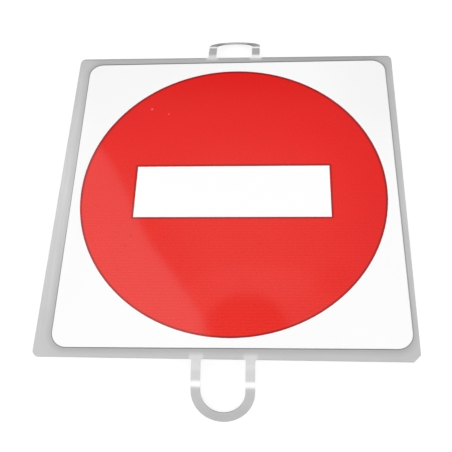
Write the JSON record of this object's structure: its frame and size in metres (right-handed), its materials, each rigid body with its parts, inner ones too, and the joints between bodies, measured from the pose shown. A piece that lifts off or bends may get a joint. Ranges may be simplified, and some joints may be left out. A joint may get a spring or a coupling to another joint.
{
  "type": "no entry sign",
  "caption": "Square no entry panel of thin frosted plastic with a white face sheet, a red disc with a white bar, and a folded loop at top and bottom to hook it on a pole.",
  "frame": {"origin": "on the surface the panel lies on, under the middle of the square board", "axes": "+Z out of the face, +Y towards the top of the sign, +X to the right as the face is read"},
  "size_m": [0.3, 0.3842, 0.0258],
  "materials": {
    "frosted_plastic": "satin frosted",
    "white_film": "gloss",
    "red_film": "gloss"
  },
  "bodies": {
    "root": {"backing_board": "frosted_plastic", "face_sheet": "white_film", "red_disc": "red_film"}
  },
  "joints": []
}
